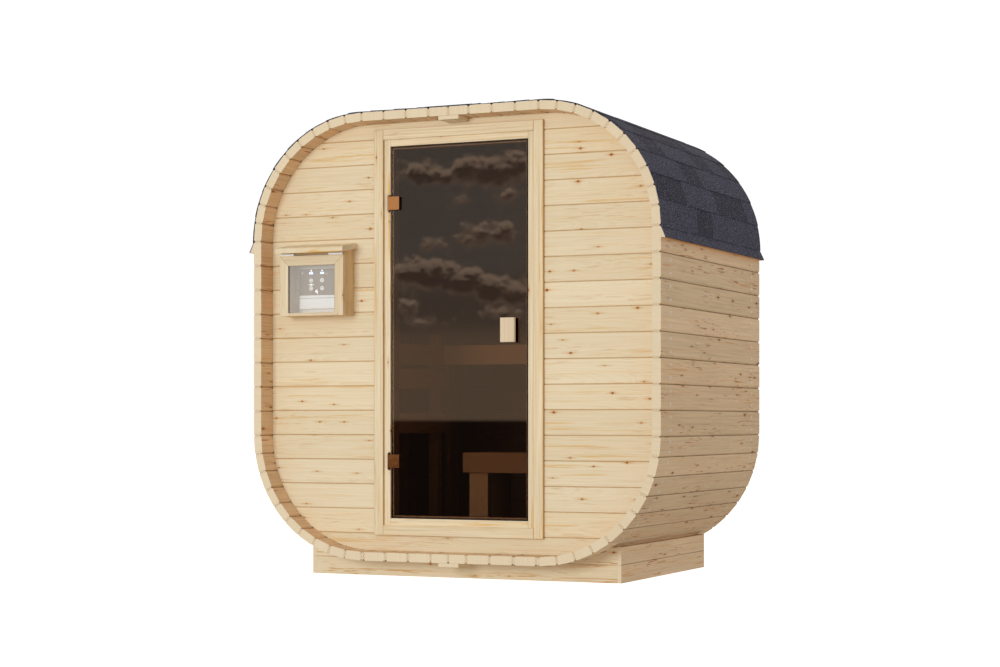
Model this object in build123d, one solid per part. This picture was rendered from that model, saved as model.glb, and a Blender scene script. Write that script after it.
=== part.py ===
from build123d import *
import os
from math import cos, sin, sqrt, hypot, radians

os.makedirs("parts", exist_ok=True)

# Barrel sauna with a rounded-square section. X to the right, Y to the back, Z up, millimetres.
# The origin lies on the ground, in the middle of the overall length and width.

# Barrel shell
stave_cover = 120.0  # width that one flat stave covers
stave_thickness = 42.0
shell_length = 1496.0  # front end to back end of the staves
side_staves = 8  # flat staves in each side
flank_staves = 3  # whole staves each side of the middle pair, in the top and in the bottom
middle_half_top = 106.0  # width of each of the two middle staves of the top
middle_half_bottom = 94.0
corner_staves = 10  # bevelled staves in each rounded corner
corner_radius = 604.0  # to the outer joints of the corner
shell_lift = 80.0  # ground to the underside of the shell
joint_gap = 0.3
groove_width = 8.0  # bevel along each stave edge, measured on the face
groove_depth = 6.0
bead_height = 20.0  # height of the round bead across the joint
bead_reach = 4.5  # how far the bead enters its neighbour
bead_facets = 4

# End walls
overhang = 111.0  # staves past the face of each end wall
wall_thickness = 42.0
board_cover = 120.0
first_board = 86.0  # height of the lowest wall board
board_bevel = 4.0
fit_gap = 0.3

# Doorway
frame_half_width = 436.0  # middle to the outer side of the door frame
sill_height = 90.0  # floor to the underside of the door frame
head_drop = 45.0  # ceiling to the top of the door frame
frame_member = 70.0
frame_depth = 70.0
stop_lip = 14.0  # stop behind the glass, seen from the front
stop_back = 14.0  # frame face to the stop
casing_width = 49.0
casing_lap = 12.0  # casing over the wall boards
casing_thickness = 15.0

# Glass door
glass_thickness = 8.0
glass_edge_gap = 6.0
glass_bevel = 1.2
hinge_plate_height = 64.0
hinge_plate_reach = 59.0  # pivot to the free side of the plate
hinge_inset = 272.0  # end of the glass to the middle of a hinge
gasket_thickness = 3.0
knuckle_radius = 6.0
pin_radius = 3.0
pin_gap = 0.3
ear_height = 6.0
ear_gap = 0.5
leaf_thickness = 3.0
leaf_lap = 8.0  # pivot to the free side of the leaf on the door frame
leaf_reach = 4.0  # pivot to the side of the leaf towards the glass
leaf_gap = 0.5
plate_round = 4.0
gasket_inset = 2.0  # side of the glass to the gasket
pivot_side = 4.0  # inner side of the frame to the pivot
rear_plate_thickness = 5.0
rear_gasket = 1.5
rear_plate_start = 24.0  # pivot to the near side of the rear plate
handle_width = 76.0
handle_height = 116.0
handle_thickness = 24.0
handle_round = 9.0
handle_standoff = 16.0
standoff_radius = 8.0
standoff_pitch = 64.0
handle_inset = 87.0  # free side of the glass to the middle of the handle

# Plinth
plinth_half_width = 820.0
plinth_inset = 152.0  # shell end to plinth face
plinth_board = 85.0  # height of one board, two boards high
plinth_side_thickness = 19.0
plinth_end_thickness = 28.0

# Seam battens at the middle joints
batten_width = 106.0
batten_thickness = 19.0
batten_gap = 1.0  # clearance round the floor batten where it passes the plinth

# Roof
felt_thickness = 6.0  # at the lower edge of each course of shingles
felt_upper = 3.0  # at the upper edge of each course
first_course = 130.0  # eave corner to the second course edge above it
course_height = 125.0
ridge_cap_half = 125.0
eave_drop = 6.0  # start of the rounded corner to the top of the wedge boards
eave_height = 50.0
eave_width = 21.0

# Benches and guard
bench_board = 100.0  # height of a fascia
bench_front_thickness = 22.0
slat_thickness = 27.0
slat_gap = 12.0
upper_bench_top = 1145.0
upper_bench_front = 680.0  # front wall face to the bench fascia
upper_slats = 5
lower_bench_top = 598.0
lower_bench_front = 370.0
lower_bench_left = -151.0
lower_bench_gap = 11.0  # end of the lower bench to the curve of the shell
lower_slats = 3
leg_width = 100.0
leg_thickness = 28.0
leg_inset = 27.0
far_leg_left = 330.0
guard_x = -430.0  # right side of the guard posts
guard_post = 50.0
guard_post_top = 1200.0
guard_rail_thickness = 22.0
guard_rail_heights = (694.0, 916.0, 1041.0)
guard_near_post = 275.0  # front wall face to the nearer guard post

# Control box on the front wall
box_left = -920.0
box_right = -566.0
box_bottom = 1271.0
box_height = 295.0  # height of its door
box_depth = 113.0
box_panel = 18.0
box_door_thickness = 18.0
box_roof_left_lap = 8.0
box_roof_right_lap = 15.0
box_roof_depth = 148.0
box_roof_thickness = 26.0
box_roof_lift = 10.0  # top of the door to the front of the roof board
box_roof_rise = 26.0
box_rail = 48.0
box_bottom_rail = 14.0
box_glass_thickness = 4.0
box_glass_lap = 6.0
box_hinge_length = 78.0
box_hinge_inset = 2.0
box_hinge_radius = 4.0
box_hinge_leaf = 1.5
box_hinge_gap = 1.0
box_pivot_lift = 0.5  # clearance between the knuckles and the leaf on the flap
control_side_gap = 62.0  # side of the box to the control unit
control_lift = 39.0  # underside of the box to the control unit
control_base = 66.0  # height of the plain part under the screen
control_height = 196.0
control_depth = 24.0
screen_depth = 28.0
control_round = 8.0

# Small edges and clearances
fine_edge = 1.0
board_edge = 1.5
soft_edge = 2.0
half_gap = joint_gap / 2

# Worked out from the sizes above
corner_x = flank_staves * stave_cover + middle_half_top
shell_half_width = corner_x + corner_radius
inner_radius = corner_radius - stave_thickness
low_corner_z = shell_lift + corner_radius
high_corner_z = low_corner_z + side_staves * stave_cover
shell_top = high_corner_z + corner_radius
inner_half_width = shell_half_width - stave_thickness
floor_z = shell_lift + stave_thickness
ceiling_z = shell_top - stave_thickness
box_past_shell = box_roof_depth - overhang
shell_front = (box_past_shell - shell_length) / 2
shell_back = shell_front + shell_length
frame_bottom = floor_z + sill_height
frame_top = ceiling_z - head_drop
wall_front = shell_front + overhang
wall_inside = wall_front + wall_thickness
back_wall_back = shell_back - overhang
back_wall_inside = back_wall_back - wall_thickness
opening_half_width = frame_half_width - frame_member
opening_bottom = frame_bottom + frame_member
opening_top = frame_top - frame_member
glass_half_width = opening_half_width - glass_edge_gap
glass_bottom = opening_bottom + glass_edge_gap
glass_top = opening_top - glass_edge_gap
glass_back = wall_front + glass_thickness
glass_middle = (glass_bottom + glass_top) / 2
handle_x = glass_half_width - handle_inset
pivot_x = -opening_half_width - pivot_side
pivot_y = wall_front - leaf_thickness - leaf_gap - knuckle_radius
eave_top = high_corner_z - eave_drop
eave_bottom = eave_top - eave_height
lower_bench_bottom = lower_bench_top - bench_board
bench_end_reach = sqrt(inner_radius ** 2 - (low_corner_z - lower_bench_bottom) ** 2)
lower_bench_right = corner_x + bench_end_reach - lower_bench_gap
box_top = box_bottom + box_height
box_roof_front_z = box_top + box_roof_lift
box_roof_left = box_left - box_roof_left_lap
box_roof_right = box_right + box_roof_right_lap
box_front = wall_front - box_depth
box_door_back = box_front + box_door_thickness
box_pivot_y = box_front - box_hinge_gap
box_pivot_z = box_top + box_hinge_leaf + box_hinge_radius + box_pivot_lift
roof_slope = box_roof_rise / box_roof_depth
plinth_front = shell_front + plinth_inset
plinth_back = shell_back - plinth_inset
plinth_height = 2 * plinth_board


def prism(points, front, back):
    """A straight prism along Y on a closed outline of (x, z) points."""
    face = make_face(Polyline(*points, close=True).edges())
    return extrude(Plane.XZ.offset(-back) * face, amount=back - front)


def lengthwise(points, left, right):
    """A straight prism along X on a closed outline of (y, z) points."""
    face = make_face(Polyline(*points, close=True).edges())
    return extrude(Plane.YZ.offset(left) * face, amount=right - left)


def bar(x0, x1, y0, y1, z0, z1):
    """A plain squared bar between two corners."""
    return Pos((x0 + x1) / 2, (y0 + y1) / 2, (z0 + z1) / 2) * Box(x1 - x0, y1 - y0, z1 - z0)


def eased(solid, size):
    """The same piece with a small bevel on every edge."""
    return chamfer(solid.edges(), size)


def save(name, *pieces):
    """Write one node; several pieces stay separate solids."""
    solids = [solid for piece in pieces for solid in piece.solids()]
    export_step(Compound(children=solids) if len(solids) > 1 else solids[0], f"parts/{name}.step")


def shell_joint(inner, outer, plain=False):
    """A joint line across the shell, from its inner to its outer face."""
    return {"inner": Vector(*inner), "outer": Vector(*outer), "plain": plain}


def corner_joint(x, z, degrees):
    direction = (cos(radians(degrees)), sin(radians(degrees)))
    return shell_joint((x + inner_radius * direction[0], z + inner_radius * direction[1]),
                       (x + corner_radius * direction[0], z + corner_radius * direction[1]))


def corner_joints(x, z, start):
    step = 90.0 / corner_staves
    return [corner_joint(x, z, start + step * i) for i in range(corner_staves + 1)]


def side_joints(side):
    heights = [low_corner_z + stave_cover * i for i in range(side_staves + 1)]
    if side < 0:
        heights.reverse()
    return [shell_joint((side * inner_half_width, z), (side * shell_half_width, z)) for z in heights]


def level_joints(inner_z, outer_z, middle_half, direction):
    """Joints of the top or the bottom: a middle pair of staves and the whole ones beside it."""
    pitch = (corner_x - middle_half) / flank_staves
    marks = [middle_half + pitch * i for i in range(flank_staves + 1)]
    row = [-mark for mark in reversed(marks)] + [0.0] + marks
    return [shell_joint((direction * x, inner_z), (direction * x, outer_z), x == 0.0) for x in row]


def stave_edge(joint, forward, side, along_inner, along_outer):
    """The edge of a stave at a joint, from the inner face to the outer: bevel, bead or cove, bevel."""
    across = (joint["outer"] - joint["inner"]).normalized()
    shift = forward * (side * joint_gap / 2)
    inner, outer = joint["inner"] + shift, joint["outer"] + shift
    if joint["plain"]:
        return inner, outer, [Line(inner, outer)]
    inner_end, outer_end = inner + along_inner * groove_width, outer + along_outer * groove_width
    low, high = inner + across * groove_depth, outer - across * groove_depth
    middle = (inner + outer) / 2
    bead = ThreePointArc(middle - across * bead_height / 2, middle + forward * bead_reach,
                         middle + across * bead_height / 2)
    curve = [bead @ (i / bead_facets) for i in range(bead_facets + 1)]
    return inner_end, outer_end, [Polyline(inner_end, low, *curve, high, outer_end)]


def stave(start, end):
    """One stave between two joints, with a cove on its first edge and a bead on its last."""
    def normal(joint):
        across = (joint["outer"] - joint["inner"]).normalized()
        return Vector(-across.Y, across.X)
    along_inner = (end["inner"] - start["inner"]).normalized()
    along_outer = (end["outer"] - start["outer"]).normalized()
    start_inner, start_outer, start_lines = stave_edge(start, normal(start), 1, along_inner, along_outer)
    end_inner, end_outer, end_lines = stave_edge(end, normal(end), -1, along_inner * -1, along_outer * -1)
    lines = start_lines + end_lines + [Line(start_inner, end_inner), Line(start_outer, end_outer)]
    face = make_face(lines)
    return extrude(Plane.XZ.offset(-shell_back) * face, amount=shell_length)


def staves(joints):
    return [stave(first, second) for first, second in zip(joints, joints[1:])]


def section_outline(radius):
    """The rounded square at a corner radius, as (x, z) points at the joints of the corner staves."""
    points = []
    for x, z, start in ((corner_x, high_corner_z, 0.0), (-corner_x, high_corner_z, 90.0),
                        (-corner_x, low_corner_z, 180.0), (corner_x, low_corner_z, 270.0)):
        for i in range(corner_staves + 1):
            angle = radians(start + 90.0 / corner_staves * i)
            points.append((x + radius * cos(angle), z + radius * sin(angle)))
    return points


def wall_rows():
    """Bottom and top of each wall board, from the floor to the ceiling."""
    joints = [floor_z]
    z = floor_z + first_board
    while z < ceiling_z:
        joints.append(z)
        z += board_cover
    joints.append(ceiling_z)
    return list(zip(joints, joints[1:]))


def wall_board(x0, x1, z0, z1, front):
    """A wall board with bevelled long edges."""
    back = front + wall_thickness
    low, high = z0 + half_gap, z1 - half_gap
    front_edge, back_edge = front + board_bevel, back - board_bevel
    low_edge, high_edge = low + board_bevel, high - board_bevel
    return lengthwise([(front, low_edge), (front, high_edge), (front_edge, high), (back_edge, high),
                       (back, high_edge), (back, low_edge), (back_edge, low), (front_edge, low)], x0, x1)


def wall_boards(x0, x1, front):
    outline = prism(section_outline(inner_radius - fit_gap), front, front + wall_thickness)
    return [wall_board(x0, x1, z0, z1, front) & outline for z0, z1 in wall_rows()]


def make_shell():
    save("shell_right", *staves(side_joints(1)))
    save("shell_corner_top_right", *staves(corner_joints(corner_x, high_corner_z, 0.0)))
    save("shell_top", *staves(level_joints(ceiling_z, shell_top, middle_half_top, -1)))
    save("shell_corner_top_left", *staves(corner_joints(-corner_x, high_corner_z, 90.0)))
    save("shell_left", *staves(side_joints(-1)))
    save("shell_corner_bottom_left", *staves(corner_joints(-corner_x, low_corner_z, 180.0)))
    save("shell_bottom", *staves(level_joints(floor_z, shell_lift, middle_half_bottom, 1)))
    save("shell_corner_bottom_right", *staves(corner_joints(corner_x, low_corner_z, 270.0)))


def make_walls():
    reach = shell_half_width
    edge = frame_half_width + fit_gap
    save("front_wall_left", *wall_boards(-reach, -edge, wall_front))
    save("front_wall_right", *wall_boards(edge, reach, wall_front))
    save("back_wall", *wall_boards(-reach, reach, back_wall_back - wall_thickness))
    half = frame_half_width
    over = wall_board(-half, half, frame_top + half_gap, ceiling_z, wall_front)
    under = wall_board(-half, half, floor_z, frame_bottom - half_gap, wall_front)
    save("front_wall_over_door", over)
    save("front_wall_under_door", under)


def make_battens():
    half = batten_width / 2
    top = ceiling_z - fit_gap
    pieces = [bar(-half, half, shell_front, wall_front - fit_gap, top - batten_thickness, top),
              bar(-half, half, back_wall_back + fit_gap, shell_back, top - batten_thickness, top)]
    save("ceiling_battens", *[eased(piece, board_edge) for piece in pieces])
    low = shell_lift - fit_gap
    batten = bar(-half, half, shell_front, shell_back, low - batten_thickness, low)
    save("floor_batten", eased(batten, board_edge))


def frame_post(side):
    """Upright of the door frame with a stop behind the glass."""
    x0, x1 = opening_half_width, frame_half_width
    y0, y1 = wall_front, wall_front + frame_depth
    ys = y0 + stop_back
    points = [(side * x1, y0), (side * x0, y0), (side * x0, ys), (side * (x0 - stop_lip), ys),
              (side * (x0 - stop_lip), y1), (side * x1, y1)]
    face = make_face(Polyline(*points, close=True).edges())
    return extrude(Plane.XY.offset(frame_bottom) * face, amount=frame_top - frame_bottom)


def frame_rail(outer_z, inner_z, lip):
    """Head or sill of the door frame between the uprights."""
    half = opening_half_width - fit_gap
    y0, y1 = wall_front, wall_front + frame_depth
    ys = y0 + stop_back
    front = bar(-half, half, y0, ys, min(outer_z, inner_z), max(outer_z, inner_z))
    lip_z = inner_z + lip
    rear_half = half - stop_lip
    rear = bar(-rear_half, rear_half, ys, y1, min(outer_z, lip_z), max(outer_z, lip_z))
    return front + rear


def make_door_frame():
    save("door_frame_left", frame_post(-1))
    save("door_frame_right", frame_post(1))
    save("door_frame_head", frame_rail(frame_top, opening_top, -stop_lip))
    save("door_frame_sill", frame_rail(frame_bottom, opening_bottom, stop_lip))


def make_casing():
    outer = frame_half_width + casing_lap
    inner = outer - casing_width
    bottom, top = frame_bottom - casing_lap, frame_top + casing_lap
    y0, y1 = wall_front - casing_thickness, wall_front
    level = inner - joint_gap
    pieces = [bar(-outer, -inner, y0, y1, bottom, top),
              bar(inner, outer, y0, y1, bottom, top),
              bar(-level, level, y0, y1, top - casing_width, top),
              bar(-level, level, y0, y1, bottom, bottom + casing_width)]
    save("door_casing", *[eased(piece, fine_edge) for piece in pieces])


def upright(radius, x, y, low, high):
    """A round pin standing between two heights."""
    return Pos(x, y, low) * Cylinder(radius, high - low, align=(Align.CENTER, Align.CENTER, Align.MIN))


def hinge_leaf(z):
    """Leaf on the door frame with round ends, an ear near each end, and the pin between the ears."""
    y0, y1 = wall_front - leaf_thickness, wall_front
    x0, x1 = pivot_x - leaf_lap, pivot_x + leaf_reach
    near = hinge_plate_height / 2 + ear_gap
    far = near + ear_height
    leaf = bar(x0, x1, y0, y1, z - far, z + far)
    for side in (-1, 1):
        end = Pos((x0 + x1) / 2, (y0 + y1) / 2, z + side * far)
        leaf += end * Rot(90, 0, 0) * Cylinder((x1 - x0) / 2, leaf_thickness)
        low, high = sorted((z + side * near, z + side * far))
        leaf += upright(knuckle_radius, pivot_x, pivot_y, low, high)
        leaf += bar(pivot_x - knuckle_radius, x1, pivot_y, y1, low, high)
    return leaf + upright(pin_radius, pivot_x, pivot_y, z - far, z + far)


def hinge_clamp(z):
    """Clamp on the glass: a front block that turns on the pin, two gaskets and a rear plate."""
    half = hinge_plate_height / 2
    x0, x1 = pivot_x, pivot_x + hinge_plate_reach
    y0, y1 = pivot_y - knuckle_radius, pivot_y + knuckle_radius
    front = bar(x0, x1, y0, y1, z - half, z + half)
    front = fillet(front.edges().filter_by(Axis.Y).group_by(Axis.X)[-1], plate_round)
    front = front + upright(knuckle_radius, x0, pivot_y, z - half, z + half)
    front = front - upright(pin_radius + pin_gap, x0, pivot_y, z - half - pin_gap, z + half + pin_gap)
    pad_side, pad_half = x1 - fine_edge, half - fine_edge
    pad = bar(-glass_half_width + gasket_inset, pad_side, y1, wall_front, z - pad_half, z + pad_half)
    near = pivot_x + rear_plate_start
    rear_face = glass_back + rear_gasket
    rear_pad = bar(near + fine_edge, pad_side, glass_back, rear_face, z - pad_half, z + pad_half)
    rear = bar(near, x1, rear_face, rear_face + rear_plate_thickness, z - half, z + half)
    return front, pad, rear_pad, eased(rear, fine_edge)


def make_hinges():
    heights = (glass_bottom + hinge_inset, glass_top - hinge_inset)
    save("door_hinge_leaves", *[hinge_leaf(z) for z in heights])
    clamps = [hinge_clamp(z) for z in heights]
    save("door_hinge_clamps", *[piece for front, pad, rear_pad, rear in clamps for piece in (front, rear)])
    save("door_hinge_gaskets", *[piece for front, pad, rear_pad, rear in clamps for piece in (pad, rear_pad)])


def make_glass_door():
    half = glass_half_width
    pane = bar(-half, half, wall_front, glass_back, glass_bottom, glass_top)
    save("door_glass", eased(pane, glass_bevel))


def handle_grip(y0, y1):
    """Wooden grip block with rounded long edges."""
    half, tall = handle_width / 2, handle_height / 2
    grip = bar(handle_x - half, handle_x + half, y0, y1, glass_middle - tall, glass_middle + tall)
    grip = fillet(grip.edges().filter_by(Axis.Z), handle_round)
    ends = grip.faces().sort_by(Axis.Z)
    return chamfer(ends[0].edges() + ends[-1].edges(), board_edge)


def handle_standoffs(y0, y1):
    posts = []
    for side in (-1, 1):
        place = Pos(handle_x, (y0 + y1) / 2, glass_middle + side * standoff_pitch / 2)
        posts.append(place * Rot(90, 0, 0) * Cylinder(standoff_radius, y1 - y0))
    return posts


def make_handles():
    outside, inside = wall_front - handle_standoff, glass_back + handle_standoff
    grips = [handle_grip(outside - handle_thickness, outside), handle_grip(inside, inside + handle_thickness)]
    save("door_handles", *grips)
    save("door_handle_posts", *handle_standoffs(outside, wall_front), *handle_standoffs(glass_back, inside))


def make_plinth():
    """Two boards high all round; the end boards are cut to the curve of the shell."""
    shell = prism(section_outline(corner_radius + fit_gap), shell_front, shell_back)
    room = batten_width / 2 + batten_gap
    notch = bar(-room, room, shell_front, shell_back, shell_lift - batten_thickness - batten_gap, shell_top)
    half = plinth_half_width - plinth_side_thickness - fit_gap
    levels = [(0.0, plinth_board - half_gap), (plinth_board + half_gap, plinth_height)]
    for name, y0 in (("plinth_front", plinth_front), ("plinth_back", plinth_back - plinth_end_thickness)):
        boards = [bar(-half, half, y0, y0 + plinth_end_thickness, low, high) for low, high in levels]
        save(name, *[board - shell - notch for board in boards])
    for name, side in (("plinth_left", -1), ("plinth_right", 1)):
        x0, x1 = sorted((side * plinth_half_width, side * (plinth_half_width - plinth_side_thickness)))
        save(name, *[bar(x0, x1, plinth_front, plinth_back, low, high) - shell for low, high in levels])


def offset_path(points, distance):
    """The same open path moved sideways by a distance, with mitred corners."""
    moved = []
    last = len(points) - 1
    for i, (x, z) in enumerate(points):
        sides = []
        for a, b in ((i - 1, i), (i, i + 1)):
            if 0 <= a and b <= last:
                dx, dz = points[b][0] - points[a][0], points[b][1] - points[a][1]
                length = sqrt(dx * dx + dz * dz)
                sides.append((dz / length, -dx / length))
        nx, nz = sum(side[0] for side in sides), sum(side[1] for side in sides)
        size = (nx * nx + nz * nz) / len(sides)
        moved.append((x + distance * nx / size, z + distance * nz / size))
    return moved


def path_length(points):
    return sum(hypot(x1 - x0, z1 - z0) for (x0, z0), (x1, z1) in zip(points, points[1:]))


def felt_depths(s, edges):
    """Thickness of the felt at a distance above the eave corner; at the edge of a course it has two."""
    for low, high in zip(edges, edges[1:]):
        if abs(s - high) < half_gap:
            return felt_upper, felt_thickness
        if s < high:
            return [felt_thickness - (felt_thickness - felt_upper) * (s - low) / (high - low)]
    return [felt_thickness]


def felt_surface(path, start, edges):
    """Under and upper side of felt laid in courses on an open path that starts at a distance."""
    marked, s = [], start
    for (x0, z0), (x1, z1) in zip(path, path[1:]):
        length = hypot(x1 - x0, z1 - z0)
        inside = [edge for edge in edges if s + half_gap < edge < s + length - half_gap]
        for mark in [s] + inside:
            share = (mark - s) / length
            marked.append((mark, x0 + (x1 - x0) * share, z0 + (z1 - z0) * share))
        s += length
    marked.append((s, *path[-1]))
    points = [(x, z) for mark, x, z in marked]
    upper = []
    for (mark, x, z), (out_x, out_z) in zip(marked, offset_path(points, 1.0)):
        for depth in felt_depths(mark, edges):
            reach = fit_gap / 2 + depth
            upper.append((x + (out_x - x) * reach, z + (out_z - z) * reach))
    return offset_path(points, fit_gap / 2), upper


def make_roof():
    """Shingled felt over the top half, and the wedge boards that throw its edge clear of the sides."""
    face = shell_half_width + fit_gap
    tip = face + eave_width
    for name, side in (("eave_board_left", -1), ("eave_board_right", 1)):
        wedge = [(side * face, eave_bottom), (side * tip, eave_bottom), (side * face, eave_top)]
        save(name, prism(wedge, shell_front, shell_back))
    corner = section_outline(corner_radius + fit_gap)[:corner_staves + 1]
    path = [(tip, eave_bottom), (face, eave_top)] + corner
    flare = hypot(eave_width, eave_height)
    corner_end = path_length(path) - flare
    edges = [-flare, 0.0, first_course]
    while edges[-1] + course_height < corner_end + corner_x - ridge_cap_half:
        edges.append(edges[-1] + course_height)
    edges.append(edges[-1] + course_height)
    under, upper = felt_surface(path, -flare, edges)
    outline = under + upper[::-1]
    save("roof_felt_right", prism(outline, shell_front, shell_back))
    save("roof_felt_left", prism([(-x, z) for x, z in outline], shell_front, shell_back))
    half, level = corner_x - joint_gap, shell_top + fit_gap
    under, upper = felt_surface([(half, level), (ridge_cap_half, level)], corner_end + joint_gap, edges)
    low = level + fit_gap / 2
    right = [(half, low)] + upper + [(ridge_cap_half, low + felt_thickness)]
    save("roof_felt_top", prism(right + [(-x, z) for x, z in reversed(right)], shell_front, shell_back))


def bench_slats(x0, x1, y0, y1, top, count):
    """Seat slats that share the depth of a bench."""
    width = (y1 - y0 - (count - 1) * slat_gap) / count
    pitch = width + slat_gap
    fronts = [y0 + i * pitch for i in range(count)]
    return [eased(bar(x0, x1, y, y + width, top - slat_thickness, top), soft_edge) for y in fronts]


def make_upper_bench():
    x0 = guard_x + guard_rail_thickness + 2 * fit_gap
    x1 = inner_half_width - fit_gap
    y0 = wall_front + upper_bench_front
    y1 = y0 + bench_front_thickness
    y2 = back_wall_inside - fit_gap
    bottom = upper_bench_top - bench_board
    save("upper_bench_seat", *bench_slats(x0, x1, y1 + fit_gap, y2, upper_bench_top, upper_slats))
    fascia = eased(bar(x0, x1, y0, y1, bottom, upper_bench_top), soft_edge)
    under = upper_bench_top - slat_thickness - fit_gap
    marks = (x0, (x0 + x1 - leg_thickness) / 2, x1 - leg_thickness)
    bearers = [bar(x, x + leg_thickness, y1 + fit_gap, y2, bottom, under) for x in marks]
    save("upper_bench_frame", fascia, *bearers)
    floor = floor_z + fit_gap
    near = y1 + fit_gap
    legs = [bar(x, x + leg_thickness, near, near + leg_width, floor, bottom - fit_gap) for x in marks[:2]]
    save("upper_bench_legs", *legs)


def make_lower_bench():
    y0 = wall_front + lower_bench_front
    y1 = y0 + bench_front_thickness
    y2 = wall_front + upper_bench_front
    bottom = lower_bench_bottom
    slats = bench_slats(lower_bench_left, lower_bench_right, y1 + fit_gap, y2, lower_bench_top, lower_slats)
    save("lower_bench_seat", *slats)
    fascia = eased(bar(lower_bench_left, lower_bench_right, y0, y1, bottom, lower_bench_top), soft_edge)
    under = lower_bench_top - slat_thickness - fit_gap
    marks = (lower_bench_left, far_leg_left, lower_bench_right - leg_thickness)
    bearers = [bar(x, x + leg_thickness, y1 + fit_gap, y2, bottom, under) for x in marks]
    save("lower_bench_frame", fascia, *bearers)
    floor = floor_z + fit_gap
    legs = []
    for x in (lower_bench_left + leg_inset, far_leg_left):
        for y in (y1 + fit_gap, y2 - leg_thickness):
            legs.append(bar(x, x + leg_width, y, y + leg_thickness, floor, bottom - fit_gap))
    save("lower_bench_legs", *legs)


def make_guard():
    """Posts and rails between the benches and the open corner beside the door."""
    x0 = guard_x - guard_post
    far_post = wall_front + upper_bench_front + bench_front_thickness - guard_post
    room = prism(section_outline(inner_radius - fit_gap), wall_inside, back_wall_inside)
    places = (wall_front + guard_near_post, far_post)
    posts = [bar(x0, guard_x, y, y + guard_post, floor_z, guard_post_top) for y in places]
    save("guard_posts", *[eased(post, soft_edge) & room for post in posts])
    y0, y1 = wall_front + frame_depth + fit_gap, far_post + guard_post
    near = guard_x + fit_gap
    rails = [bar(near, near + guard_rail_thickness, y0, y1, z, z + bench_board) for z in guard_rail_heights]
    save("guard_rails", *[eased(rail, soft_edge) for rail in rails])


def roof_under(y):
    """Height of the underside of the sloping board at a distance in front of the wall."""
    return box_roof_front_z + box_roof_rise - roof_slope * (wall_front - y)


def box_side(x0, x1):
    """Side panel with its top cut to the slope of the roof board and notched under the head rail."""
    y0, y1 = box_door_back + fit_gap, wall_front
    ys = y0 + box_panel + fit_gap
    notch = box_pivot_z - box_hinge_leaf / 2 - fit_gap
    points = [(y0, box_bottom), (y1, box_bottom), (y1, roof_under(y1) - fit_gap),
              (ys, roof_under(ys) - fit_gap), (ys, notch), (y0, notch)]
    return lengthwise(points, x0, x1)


def make_box():
    y0, y1 = box_door_back + fit_gap, wall_front
    left_inner, right_inner = box_left + box_panel, box_right - box_panel
    floor = bar(left_inner + fit_gap, right_inner - fit_gap, y0, y1, box_bottom, box_bottom + box_bottom_rail)
    rail_low = box_pivot_z + box_hinge_leaf / 2
    rail_back = y0 + box_panel
    head = lengthwise([(y0, rail_low), (rail_back, rail_low), (rail_back, roof_under(rail_back) - fit_gap),
                       (y0, roof_under(y0) - fit_gap)], box_left, box_right)
    save("control_box", box_side(box_left, left_inner), box_side(right_inner, box_right), floor, head)
    front = wall_front - box_roof_depth
    low_front, low_back = roof_under(front), roof_under(wall_front)
    thickness = box_roof_thickness
    points = [(front, low_front), (wall_front, low_back), (wall_front, low_back + thickness),
              (front, low_front + thickness)]
    roof = lengthwise(points, box_roof_left, box_roof_right)
    save("control_box_roof", chamfer(roof.edges().filter_by(Axis.X), soft_edge))


def make_box_door():
    """Top-hung glazed flap; the upper corners are mitred and the uprights run down to its lower edge."""
    y0, y1 = box_front, box_door_back
    x0, x1 = box_left, box_right
    z0, z1 = box_bottom, box_top
    inner_left, inner_right, inner_top = x0 + box_rail, x1 - box_rail, z1 - box_rail
    inner_bottom = z0 + box_bottom_rail
    middle = (y0 + y1) / 2

    def slab(grow, thickness):
        return bar(inner_left - grow, inner_right + grow, middle - thickness / 2, middle + thickness / 2,
                   inner_bottom - grow, inner_top + grow)

    room = slab(box_glass_lap + fit_gap, box_glass_thickness + 2 * fit_gap)
    mitre_outer, mitre_inner = z1 - half_gap, inner_top - half_gap
    left = prism([(x0, z0), (inner_left, z0), (inner_left, mitre_inner), (x0, mitre_outer)], y0, y1)
    right = prism([(x1, z0), (inner_right, z0), (inner_right, mitre_inner), (x1, mitre_outer)], y0, y1)
    top = prism([(x0 + half_gap, z1), (x1 - half_gap, z1), (inner_right - half_gap, inner_top),
                 (inner_left + half_gap, inner_top)], y0, y1)
    bottom = bar(inner_left + joint_gap, inner_right - joint_gap, y0, y1, z0, inner_bottom)
    save("box_door_frame", left - room, right - room, top - room, bottom - room)
    save("box_door_glass", slab(box_glass_lap, box_glass_thickness))


def make_box_hinges():
    """Butt hinges under the front of the little roof: one leaf on the flap, one on the head rail."""
    starts = (box_left + box_hinge_inset, box_right - box_hinge_inset - box_hinge_length)
    third = box_hinge_length / 3
    low = box_pivot_z - box_hinge_leaf / 2
    clear_y = box_pivot_y + box_hinge_radius + box_hinge_gap

    def knuckle(start):
        barrel = Rot(0, 90, 0) * Cylinder(box_hinge_radius, third - joint_gap)
        return Pos(start + third / 2, box_pivot_y, box_pivot_z) * barrel

    moving, fixed = [], []
    for x in starts:
        web = bar(x + third + half_gap, x + 2 * third - half_gap, box_pivot_y, box_pivot_y + box_hinge_leaf,
                  box_top, box_pivot_z)
        plate = bar(x, x + box_hinge_length, box_front, box_door_back - box_hinge_gap, box_top,
                    box_top + box_hinge_leaf)
        moving.append(knuckle(x + third) + web + plate)
        leaf = bar(x, x + box_hinge_length, clear_y, box_door_back + box_panel, low, low + box_hinge_leaf)
        for start in (x, x + 2 * third):
            arm = bar(start + half_gap, start + third - half_gap, box_pivot_y, clear_y,
                      low, low + box_hinge_leaf)
            leaf += knuckle(start) + arm
        fixed.append(leaf)
    save("box_door_hinges", *moving)
    save("box_hinge_leaves", *fixed)


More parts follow.
